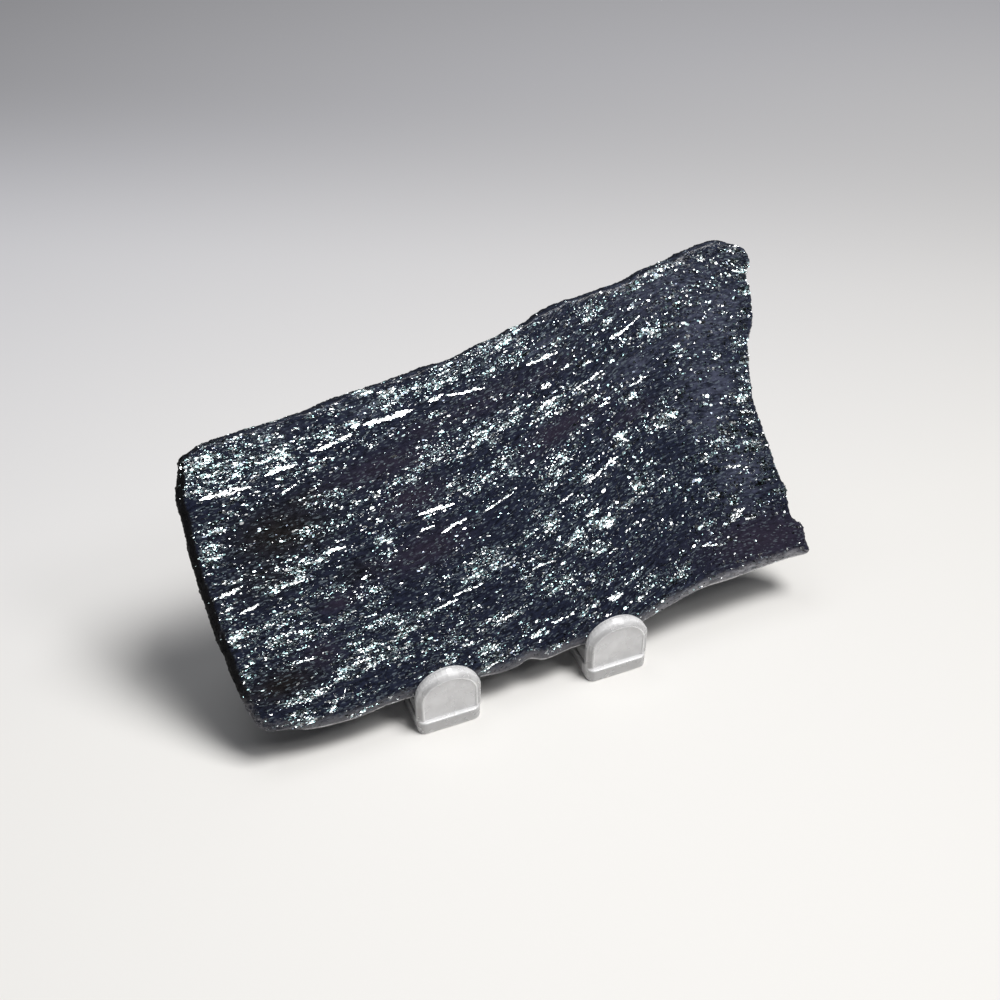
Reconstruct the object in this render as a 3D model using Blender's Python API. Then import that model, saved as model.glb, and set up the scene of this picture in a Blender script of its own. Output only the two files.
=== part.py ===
"""Slab of specular hematite leaning back in a small clear plastic display easel.

The row frame has +X along the slab's length, +Y to the back and +Z up. The origin is at the bottom centre
of the whole object's bounding box. Lengths in the constants are millimetres, turned into metres by MM.
"""

import math
import random

import bmesh
import bpy
from mathutils import Vector, geometry

MM = 0.001

# Slab, in its own plane: s runs along the length from midway between the lips, t runs up the sawn face,
# and depth goes into the stone from the polished front face.
SLAB_THICKNESS = 4.0
LEAN = math.radians(34)
BOTTOM_EDGE = [
    (-44.0, 0.9), (-40.8, 0.4), (-37.6, -0.6), (-34.0, -1.0), (-29.0, -1.1), (-25.0, -0.6), (-21.0, -0.5),
    (-15.0, -0.6), (-8.6, -0.6), (-4.8, -1.0), (-1.6, -0.6), (0.3, 0.0), (2.6, -1.0), (4.4, -0.9), (7.5, -0.4),
    (12.0, -0.5), (18.0, -0.3), (22.8, 0.8), (28.5, 2.1), (33.2, 3.0), (38.8, 3.1), (47.5, 3.6), (53.6, 3.7),
]
RIGHT_EDGE = [
    (54.2, 4.4), (54.2, 6.5), (53.7, 9.3), (52.0, 11.4), (51.9, 15.7), (50.9, 19.7), (50.0, 26.6), (49.3, 30.5),
    (49.1, 34.2), (49.3, 38.3), (49.8, 42.1), (51.4, 45.5), (52.0, 49.4), (52.3, 53.4), (53.1, 55.7),
]
TOP_EDGE = [
    (52.7, 57.3), (51.2, 58.9), (48.6, 60.1), (45.2, 60.3), (38.7, 59.2), (32.2, 57.8), (25.2, 56.6),
    (17.2, 55.8), (11.9, 54.5), (4.3, 52.5), (-2.0, 51.2), (-7.6, 50.7), (-13.0, 50.0), (-21.9, 49.2),
    (-27.3, 48.3), (-37.5, 47.6), (-42.1, 47.2), (-45.1, 46.5), (-47.2, 45.4),
]
LEFT_EDGE = [
    (-48.0, 42.7), (-48.8, 40.4), (-48.7, 34.3), (-48.9, 30.0), (-48.4, 21.4), (-47.5, 12.3), (-46.0, 4.6),
    (-45.2, 2.2),
]
EDGE_STEP = 1.3

# Worn and chipped rim: the front edge's rounding as (width, depth). It is broad along the polished bottom edge,
# narrower down the left side and slight elsewhere. Its middle ring lies at these shares of width and depth.
FRONT_ROUNDING = {"bottom": (1.9, 1.6), "right": (0.45, 0.4), "top": (0.45, 0.4), "left": (1.15, 1.0)}
ROUNDING_CROWN = (0.32, 0.36)
BACK_ROUNDING = 0.45
EASE_PASSES = 3
SCALLOP = 0.3
SCALLOP_WAVES = (0.55, 0.23)
SCALLOP_SHIFT = 1.0
RIM_CHIP = 0.45
WALL_ROUGHNESS = 0.28
BITE_COUNT = 46
BITE_DEPTH = (0.1, 0.45)
BITE_REACH = (0.8, 2.6)
SEED = 11

# The two flat faces: the spacing of their points, a slow swell in front and saw marks behind. Waves are in
# radians for each millimetre along and up.
FACE_PITCH = 3.1
FACE_CLEAR = 0.6 * FACE_PITCH
FACE_JITTER = 0.12 * FACE_PITCH
FACE_WAVE = 0.12
SWELL = (0.11, 0.07)
CROSS_SWELL = (-0.05, 0.09)
SAW_WAVE = 0.16
SAW_PITCH = 7.0
SAW_SLANT = 0.35
TRIANGLE_TOLERANCE = 1e-6

# Easel: two flat feet, each with a lip at its front and an upturned V of rest and brace, and two ties.
LIP_SPACING = 30.0
FOOT_WIDTH = 10.8
FOOT_HEIGHT = 2.5
FOOT_LENGTH = 40.0
FOOT_ROUND = 1.3
VEE_WIDTH = 10.0
REST_LENGTH = 36.0
BAR_THICKNESS = 2.2
APEX_ROUND = 1.6
EDGE_ROUND = 0.25
SHARP = math.radians(35)
LIP_SETBACK = 0.6
LIP_THICKNESS = 2.2
LIP_SHOULDER = 6.5
LIP_ARC_STEPS = 20
LIP_SHIFT = 0.15
# Each ring of the lip as its depth behind the lip's front, its half width and its height. A low bead runs
# round the flat of its face.
LIP_RINGS = [
    (0.18, 4.35, 10.3), (0.0, 4.55, 10.5), (0.14, 4.95, 10.72), (0.38, 5.3, 10.95), (0.8, 5.6, 11.25),
    (1.6, 5.5, 11.55), (2.2, 5.2, 11.35),
]
LIP_CORE_SHARE = 1 / 3
HEEL_SETBACK = 1.5
SINK = 0.3
TIE_THICKNESS = 1.7
TIE_OVERLAP = 1.0
REST_TIE = (20.0, 30.0)
FOOT_TIE = (33.5, 38.0)
FOOT_TIE_LIFT = 0.4

# Where the two meet: the gap left all round the slab, and the lowest stone over the seats.
GAP = 0.3
SEAT_STONE_LOW = -0.62

# Points nearer than these are the same corner, and edges that turn less than this are shaded smooth.
SAME_CORNER = 0.01
WELD = 0.002
SMOOTH_BELOW = math.radians(32)

STONE_COLOUR = (0.045, 0.055, 0.085)
STONE_METALLIC = 0.6
STONE_ROUGHNESS = 0.35
PLASTIC_COLOUR = (0.93, 0.95, 0.97)
PLASTIC_ROUGHNESS = 0.12
PLASTIC_IOR = 1.49

UP = Vector((0.0, math.sin(LEAN), math.cos(LEAN)))
INTO = Vector((0.0, math.cos(LEAN), -math.sin(LEAN)))
LIP_BACK = LIP_SETBACK + LIP_THICKNESS
SEAT_T = SEAT_STONE_LOW - GAP
# The stone's foremost line is the top of its bottom bevel. It stands one gap behind the lips.
FORE_T = SEAT_STONE_LOW + FRONT_ROUNDING["bottom"][0]
SLAB_BASE = Vector((0.0, LIP_BACK + GAP - FORE_T * math.sin(LEAN), 7.05))


def on_slab(s, t, depth):
    """The point of the slab at these slab coordinates, in millimetres, before the whole is centred."""
    return Vector((s, 0.0, 0.0)) + SLAB_BASE + UP * t + INTO * depth


def catmull_rom(before, start, end, after, step):
    """Points from start up to but without end, on the curve through both."""
    count = max(1, round((end - start).length / step))
    points = []
    for i in range(count):
        u = i / count
        points.append(
            0.5
            * (
                2 * start
                + (end - before) * u
                + (2 * before - 5 * start + 4 * end - after) * u**2
                + (3 * start - before - 3 * end + after) * u**3
            )
        )
    return points


def smooth_outline():
    """The closed outline, anticlockwise from the bottom left, and the name of each point's edge."""
    edges = {"bottom": BOTTOM_EDGE, "right": RIGHT_EDGE, "top": TOP_EDGE, "left": LEFT_EDGE}
    corners = [(Vector(p), name) for name, edge in edges.items() for p in edge]
    count = len(corners)
    points = []
    names = []
    for i, (corner, name) in enumerate(corners):
        before = corners[i - 1][0]
        following, following_name = corners[(i + 1) % count]
        run = catmull_rom(before, corner, following, corners[(i + 2) % count][0], EDGE_STEP)
        points += run
        names += [following_name if name == "bottom" else name] * len(run)
    return points, names


def inward_normals(points):
    """The unit normal to the left of the outline's direction, which points into the stone."""
    normals = []
    for i, _ in enumerate(points):
        along = points[(i + 1) % len(points)] - points[i - 1]
        normals.append(Vector((-along.y, along.x)).normalized())
    return normals


def bitten(points, names, rng):
    """The outline with small chips out of it, apart from the polished bottom edge."""
    normals = inward_normals(points)
    depth = [0.0] * len(points)
    for _ in range(BITE_COUNT):
        centre = rng.choice(points)
        reach = rng.uniform(*BITE_REACH)
        deepest = rng.uniform(*BITE_DEPTH)
        for i, point in enumerate(points):
            away = (point - centre).length / reach
            if away < 1 and names[i] != "bottom":
                depth[i] = max(depth[i], deepest * (1 - away**2))
    return [p + n * d for p, n, d in zip(points, normals, depth)]


def eased(level):
    """The levels round the outline with their steps turned into short ramps."""
    for _ in range(EASE_PASSES):
        level = [(level[i - 1] + 2 * level[i] + level[(i + 1) % len(level)]) / 4 for i in range(len(level))]
    return level


def front_wave(p):
    """How far the polished face lies in from flat: a slow swell that never stands out."""
    swell = math.sin(p.dot(Vector(SWELL))) * math.cos(p.dot(Vector(CROSS_SWELL)))
    return FACE_WAVE * (0.5 + 0.5 * swell)


def back_depth_at(p):
    """How deep the sawn back lies, with its long shallow saw marks."""
    across = p.x * SAW_SLANT + p.y
    return SLAB_THICKNESS - SAW_WAVE * (0.5 + 0.5 * math.sin(2 * math.pi * across / SAW_PITCH))


def rim_rings(points, names, rng):
    """Rings from the front face's edge round the rim to the back face's edge, as lists of (point, depth)."""
    normals = inward_normals(points)
    polished = eased([float(name == "bottom") for name in names])
    widths = eased([FRONT_ROUNDING[name][0] for name in names])
    depths = eased([FRONT_ROUNDING[name][1] for name in names])
    crown_width, crown_depth = ROUNDING_CROWN
    long_wave, slow_wave = SCALLOP_WAVES
    rings = [[] for _ in range(6)]
    for i, (point, normal) in enumerate(zip(points, normals)):
        scallop = SCALLOP * math.sin(long_wave * point.x) * math.sin(slow_wave * point.x + SCALLOP_SHIFT)
        chip = rng.uniform(0, RIM_CHIP) * (1 - polished[i])
        width = widths[i] + chip + polished[i] * scallop
        depth = depths[i] + chip
        back_width = BACK_ROUNDING + rng.uniform(0, RIM_CHIP)
        back_depth = BACK_ROUNDING + rng.uniform(0, RIM_CHIP)
        wall = rng.uniform(0, WALL_ROUGHNESS)
        face_edge = point + normal * width
        back_edge = point + normal * back_width
        middle = (depth + SLAB_THICKNESS - back_depth) / 2
        rings[0].append((face_edge, front_wave(face_edge)))
        rings[1].append((point + normal * width * crown_width, depth * crown_depth))
        rings[2].append((point, depth))
        rings[3].append((point + normal * wall, middle))
        rings[4].append((point, SLAB_THICKNESS - back_depth))
        rings[5].append((back_edge, back_depth_at(back_edge)))
    return rings


def inside(p, polygon):
    hit = False
    for i, a in enumerate(polygon):
        b = polygon[i - 1]
        if (a.y > p.y) != (b.y > p.y) and p.x < a.x + (p.y - a.y) * (b.x - a.x) / (b.y - a.y):
            hit = not hit
    return hit


def face_points(polygon, rng):
    """Points spread over the face, in staggered rows, clear of its edge."""
    low = Vector((min(p.x for p in polygon), min(p.y for p in polygon)))
    high = Vector((max(p.x for p in polygon), max(p.y for p in polygon)))
    row_height = FACE_PITCH * math.sqrt(3) / 2
    points = []
    for row in range(int((high.y - low.y) / row_height) + 1):
        for column in range(int((high.x - low.x) / FACE_PITCH) + 1):
            x = low.x + (column + 0.5 * (row % 2)) * FACE_PITCH + rng.uniform(-FACE_JITTER, FACE_JITTER)
            y = low.y + row * row_height + rng.uniform(-FACE_JITTER, FACE_JITTER)
            p = Vector((x, y))
            if inside(p, polygon) and min((p - q).length for q in polygon) > FACE_CLEAR:
                points.append(p)
    return points


def add_face(mesh, ring_verts, polygon, depth_of, rng, faces_front):
    """Fills one ring with triangles over points of its own, each at the depth that depth_of gives."""
    interior = face_points(polygon, rng)
    count = len(polygon)
    edges = [(i, (i + 1) % count) for i in range(count)]
    inside_only = 1
    out_points, _, triangles, ids, _, _ = geometry.delaunay_2d_cdt(
        polygon + interior, edges, [], inside_only, TRIANGLE_TOLERANCE
    )
    verts = []
    for point, source in zip(out_points, ids):
        if source and source[0] < count:
            verts.append(ring_verts[source[0]])
        else:
            verts.append(mesh.verts.new(on_slab(point.x, point.y, depth_of(point)) * MM))
    for triangle in triangles:
        corners = [verts[i] for i in triangle]
        mesh.faces.new(corners if faces_front else corners[::-1])


def build_slab():
    rng = random.Random(SEED)
    points, names = smooth_outline()
    points = bitten(points, names, rng)
    rings = rim_rings(points, names, rng)
    mesh = bmesh.new()
    ring_verts = [[mesh.verts.new(on_slab(p.x, p.y, depth) * MM) for p, depth in ring] for ring in rings]
    count = len(points)
    for near, far in zip(ring_verts, ring_verts[1:]):
        for i in range(count):
            j = (i + 1) % count
            mesh.faces.new((near[i], far[i], far[j], near[j]))
    add_face(mesh, ring_verts[0], [p for p, _ in rings[0]], front_wave, rng, True)
    add_face(mesh, ring_verts[-1], [p for p, _ in rings[-1]], back_depth_at, rng, False)
    return finished("hematite_slab", mesh, slab_material())


def meet(a, along_a, b, along_b):
    """Where the line through a and the line through b cross."""
    cross = along_a.x * along_b.y - along_a.y * along_b.x
    gap = b - a
    return a + along_a * ((gap.x * along_b.y - gap.y * along_b.x) / cross)


def rest_frame():
    """The rest's lowest front point, and the directions up it and through it, all as (y, z)."""
    up = Vector((UP.y, UP.z))
    into = Vector((INTO.y, INTO.z))
    base = Vector((SLAB_BASE.y, SLAB_BASE.z))
    return base + up * SEAT_T + into * (SLAB_THICKNESS + GAP), up, into


def vee_profile():
    """Outline of seat, rest and brace seen from the side, as (y, z), and its apex."""
    root, up, into = rest_frame()
    level = Vector((1.0, 0.0))
    upright = Vector((0.0, 1.0))
    core = Vector((LIP_SETBACK + LIP_THICKNESS * LIP_CORE_SHARE, 0.0))
    sunk = Vector((0.0, FOOT_HEIGHT - SINK))
    apex = root + up * REST_LENGTH
    heel = Vector((FOOT_LENGTH - HEEL_SETBACK, FOOT_HEIGHT))
    brace = (heel - apex).normalized()
    brace_inside = apex + Vector((brace.y, -brace.x)) * BAR_THICKNESS
    rest_inside = root + into * BAR_THICKNESS
    outline = [
        meet(core, upright, sunk, level),
        meet(core, upright, root, into),
        root,
        apex,
        meet(sunk, level, apex, brace),
        meet(sunk, level, brace_inside, brace),
        meet(rest_inside, up, brace_inside, brace),
        meet(sunk, level, rest_inside, up),
    ]
    return outline, apex


def extruded(outline, x_low, x_high):
    """The (y, z) outline drawn out along X into one closed body."""
    mesh = bmesh.new()
    low = [mesh.verts.new(Vector((x_low, p.x, p.y)) * MM) for p in outline]
    high = [mesh.verts.new(Vector((x_high, p.x, p.y)) * MM) for p in outline]
    mesh.faces.new(low)
    mesh.faces.new(high[::-1])
    for i, _ in enumerate(outline):
        mesh.faces.new((low[i - 1], high[i - 1], high[i], low[i]))
    bmesh.ops.recalc_face_normals(mesh, faces=mesh.faces)
    return mesh


def round_edges(mesh, chosen, width, segments):
    edges = [e for e in mesh.edges if chosen(e)]
    bmesh.ops.bevel(
        mesh, geom=edges, offset=width * MM, segments=segments, profile=0.5, affect="EDGES", clamp_overlap=True
    )


def softened(mesh):
    """The body with its outer edges slightly rounded, as moulded plastic has them."""
    round_edges(mesh, lambda e: e.calc_face_angle_signed(0.0) > SHARP, EDGE_ROUND, 2)
    return mesh


def vee_mesh(centre):
    outline, apex = vee_profile()
    mesh = extruded(outline, centre - VEE_WIDTH / 2, centre + VEE_WIDTH / 2)

    def at_apex(edge):
        return all((Vector((v.co.y, v.co.z)) / MM - apex).length < SAME_CORNER for v in edge.verts)

    round_edges(mesh, at_apex, APEX_ROUND, 4)
    return softened(mesh)


def box_outline(front, rear, low, high):
    return [Vector((front, low)), Vector((front, high)), Vector((rear, high)), Vector((rear, low))]


def foot_mesh(centre):
    half = FOOT_WIDTH / 2
    mesh = extruded(box_outline(0.0, FOOT_LENGTH, 0.0, FOOT_HEIGHT), centre - half, centre + half)

    def upright_corner(edge):
        return abs(edge.verts[0].co.z - edge.verts[1].co.z) > FOOT_HEIGHT * MM / 2

    round_edges(mesh, upright_corner, FOOT_ROUND, 5)
    return softened(mesh)


def lip_ring(centre, depth, half_width, height):
    """One closed ring of the lip, straight up both sides and half an ellipse over the top."""
    y = LIP_SETBACK + depth
    centre += LIP_SHIFT
    ring = [Vector((centre + half_width, y, FOOT_HEIGHT - SINK))]
    for k in range(LIP_ARC_STEPS + 1):
        angle = math.pi * k / LIP_ARC_STEPS
        rise = (height - LIP_SHOULDER) * math.sin(angle)
        ring.append(Vector((centre + half_width * math.cos(angle), y, LIP_SHOULDER + rise)))
    ring.append(Vector((centre - half_width, y, FOOT_HEIGHT - SINK)))
    return ring


def lip_mesh(centre):
    mesh = bmesh.new()
    rings = [[mesh.verts.new(p * MM) for p in lip_ring(centre, *sizes)] for sizes in LIP_RINGS]
    for front, rear in zip(rings, rings[1:]):
        for i, _ in enumerate(front):
            mesh.faces.new((front[i - 1], rear[i - 1], rear[i], front[i]))
    mesh.faces.new(rings[0])
    mesh.faces.new(rings[-1][::-1])
    bmesh.ops.recalc_face_normals(mesh, faces=mesh.faces)
    return mesh


def tie_mesh(outline):
    """A flat bar between the two sides, from its cross-section as (y, z)."""
    reach = (LIP_SPACING - VEE_WIDTH) / 2 + TIE_OVERLAP
    return softened(extruded(outline, -reach, reach))


def rest_tie_outline():
    root, up, into = rest_frame()
    near_face = root + into * (BAR_THICKNESS - TIE_THICKNESS) / 2
    low, high = (near_face + up * length for length in REST_TIE)
    return [low, high, high + into * TIE_THICKNESS, low + into * TIE_THICKNESS]


def build_easel():
    bodies = [tie_mesh(rest_tie_outline())]
    bodies.append(tie_mesh(box_outline(*FOOT_TIE, FOOT_TIE_LIFT, FOOT_TIE_LIFT + TIE_THICKNESS)))
    for centre in (-LIP_SPACING / 2, LIP_SPACING / 2):
        bodies += [foot_mesh(centre), vee_mesh(centre), lip_mesh(centre)]
    pieces = [object_from("easel_piece", body) for body in bodies]
    for other in pieces[1:]:
        union = pieces[0].modifiers.new("join", "BOOLEAN")
        union.operation = "UNION"
        union.solver = "EXACT"
        union.object = other
    graph = bpy.context.evaluated_depsgraph_get()
    mesh = bmesh.new()
    mesh.from_mesh(pieces[0].evaluated_get(graph).to_mesh())
    for piece in pieces:
        bpy.data.objects.remove(piece)
    bmesh.ops.remove_doubles(mesh, verts=mesh.verts, dist=WELD * MM)
    return finished("display_easel", mesh, plastic_material())


def object_from(name, mesh):
    data = bpy.data.meshes.new(name)
    mesh.to_mesh(data)
    mesh.free()
    obj = bpy.data.objects.new(name, data)
    bpy.context.scene.collection.objects.link(obj)
    return obj


def finished(name, mesh, material):
    for edge in mesh.edges:
        edge.smooth = edge.calc_face_angle(0.0) < SMOOTH_BELOW
    for face in mesh.faces:
        face.smooth = True
    obj = object_from(name, mesh)
    obj.data.materials.append(material)
    return obj


def plain_material(name, colour, metallic, roughness):
    material = bpy.data.materials.new(name)
    material.use_nodes = True
    shader = material.node_tree.nodes["Principled BSDF"]
    shader.inputs["Base Color"].default_value = (*colour, 1.0)
    shader.inputs["Metallic"].default_value = metallic
    shader.inputs["Roughness"].default_value = roughness
    return material, shader


def slab_material():
    material, _ = plain_material("specular_hematite", STONE_COLOUR, STONE_METALLIC, STONE_ROUGHNESS)
    return material


def plastic_material():
    material, shader = plain_material("clear_plastic", PLASTIC_COLOUR, 0.0, PLASTIC_ROUGHNESS)
    shader.inputs["Transmission Weight"].default_value = 1.0
    shader.inputs["IOR"].default_value = PLASTIC_IOR
    return material


def centre_on_origin(objects):
    """Moves all points so that the bounding box's bottom centre is at the origin."""
    corners = [v.co for obj in objects for v in obj.data.vertices]
    low = Vector([min(c[axis] for c in corners) for axis in range(3)])
    high = Vector([max(c[axis] for c in corners) for axis in range(3)])
    shift = Vector((-(low.x + high.x) / 2, -(low.y + high.y) / 2, -low.z))
    for obj in objects:
        for vertex in obj.data.vertices:
            vertex.co += shift


def main():
    for obj in list(bpy.data.objects):
        bpy.data.objects.remove(obj)
    centre_on_origin([build_slab(), build_easel()])


main()
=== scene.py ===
"""Looks of the slab of specular hematite and its clear display easel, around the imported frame.

Slab coordinates are millimetres: s runs along the slab from midway between the easel's lips, t runs up the
polished face and n goes into the stone. The stone's layering, which its flakes follow, is called the grain.
"""

import math

import bmesh
import bpy
import numpy as np
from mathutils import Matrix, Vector, noise
from mathutils.bvhtree import BVHTree


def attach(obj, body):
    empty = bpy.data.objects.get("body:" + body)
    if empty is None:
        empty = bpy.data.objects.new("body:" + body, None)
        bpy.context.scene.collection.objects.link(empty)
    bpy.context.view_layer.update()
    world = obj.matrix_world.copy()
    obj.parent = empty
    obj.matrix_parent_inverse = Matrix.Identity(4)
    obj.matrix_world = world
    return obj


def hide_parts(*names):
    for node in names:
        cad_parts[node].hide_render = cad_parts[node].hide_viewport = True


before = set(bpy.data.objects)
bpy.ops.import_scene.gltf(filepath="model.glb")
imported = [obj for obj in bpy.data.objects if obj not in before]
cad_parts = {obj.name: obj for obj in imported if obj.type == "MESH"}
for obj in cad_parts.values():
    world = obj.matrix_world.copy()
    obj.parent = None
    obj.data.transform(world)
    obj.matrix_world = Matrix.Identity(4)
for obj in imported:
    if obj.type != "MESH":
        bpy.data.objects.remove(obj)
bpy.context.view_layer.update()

MM = 0.001

# The slab's own axes in the row frame.
LEAN = math.radians(34)
FACE_ORIGIN = np.array([-2.6, -17.616, 7.05])
ALONG = np.array([1.0, 0.0, 0.0])
UP = np.array([0.0, math.sin(LEAN), math.cos(LEAN)])
INTO = np.array([0.0, math.cos(LEAN), -math.sin(LEAN)])
SLAB_AXES = np.array([ALONG, UP, INTO])

# Camera, fitted to the photograph.
CAMERA_PLACE = (-0.06607, -0.15977, 0.17728)
CAMERA_TURN = (math.radians(49), 0.0, math.radians(-22.18))
CAMERA_LENS = 50.4
CAMERA_CLIP = (0.005, 20.0)
FLOOR_REACH = 1.5

# The easel's lips in millimetres: where their middle lies and how far apart they are, their outline, the
# height of the ledge below, and the back of the frosted part and how softly it begins; the bead is a
# share of the outline.
LIP_MIDDLE = -2.45
LIP_SPACING = 30.0
LIP_HALF_WIDTH = 5.6
LIP_SHOULDER = 6.5
LIP_TOP = 11.25
LIP_BACK = -16.8
LIP_FADE = 0.5
LEDGE = 2.65
BEAD = 0.82
# Share of light that goes through the frosted lips, their foot and the rest of the easel, how much less of
# it through the lips' flat faces, and how strongly their outline is painted white as a highlight.
FROST_CLEARNESS = (0.44, 0.62)
FOOT_CLEARNESS = 0.42
BODY_CLEARNESS = 0.60
FACE_WHITENESS = 0.34
OUTLINE_HIGHLIGHT = 0.4
FROST_ROUGHNESS = (0.2, 0.34)
BODY_ROUGHNESS = 0.16
# Half widths of the painted highlights along the bead and the outline, as shares of it, and along the
# ledge and the sole, in millimetres, the sole's height, and how softly the face and the foot begin.
BEAD_REACH = 0.05
OUTLINE_REACH = 0.06
LEDGE_REACH = 0.22
SOLE_REACH = 0.35
SOLE = 0.1
FACE_FADE = 0.03
FOOT_FADE = 0.2

# Lamps as place in metres, size in metres, power in watts and colour.
LAMPS = {
    "key": ((0.15, -0.10, 0.50), 0.20, 2.88, (1.0, 0.992, 0.98)),
    "back": ((-0.06, 0.16, 0.50), 0.25, 0.50, (0.95, 0.97, 1.0)),
    "front": ((0.231, -0.275, 0.438), 0.11, 0.40, (1.0, 1.0, 1.0)),
}
SURROUNDINGS = (0.022, 0.023, 0.027)

# How steeply the grain rises to the right, in degrees, at these places along the slab.
GRAIN_AT = [-50, -30, -15, 0, 12, 22, 32, 40, 52]
GRAIN_RISE = [2, 4, 8, 13, 19, 21, 12, -2, -8]
# How far from the middle its height is worked out, and in what steps.
GRAIN_REACH = 60.0
GRAIN_STEP = 0.25
# Noises laid along the grain, as (length and height of a cell in millimetres, seed).
BANDS = (7.0, 1.1, 1)
KNOTS = (1.8, 0.7, 2)
ROWS = (1.3, 0.34, 3)
LUMPS = (2.2, 0.7, 6)
UP_DRIFT = (1.6, 0.6, 4)
ALONG_DRIFT = (1.6, 0.6, 5)
# Where the rows and lumps of flakes begin and are full.
ROWS_RAMP = (0.36, 0.62)
LUMPS_RAMP = (0.30, 0.62)
# Richness of the plain stone from bands and knots, and how much the rich places add.
BANDS_SHARE = 0.6
KNOTS_SHARE = 0.4
PLAIN_RAMP = (0.35, 0.85)
PLAIN_LEAST = 0.06
PLAIN_GAIN = 0.34
RICH_GAIN = 0.9
# The ground bevel's top at s = 0, its rise to the right and its soft edge, in millimetres.
BEVEL_TOP = 3.6
BEVEL_SLANT = 0.055
BEVEL_FADE = 0.8
# Depths in millimetres of the rim's chips, the saw marks, and the waves of the back and the front; then the
# pitch of the saw marks and how far they slant.
CHIP_DEPTH = 0.42
SAW_DEPTH = 0.05
BACK_DEPTH = 0.04
FRONT_DEPTH = 0.025
SAW_PITCH = 2.3
SAW_SLANT = 0.35

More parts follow.
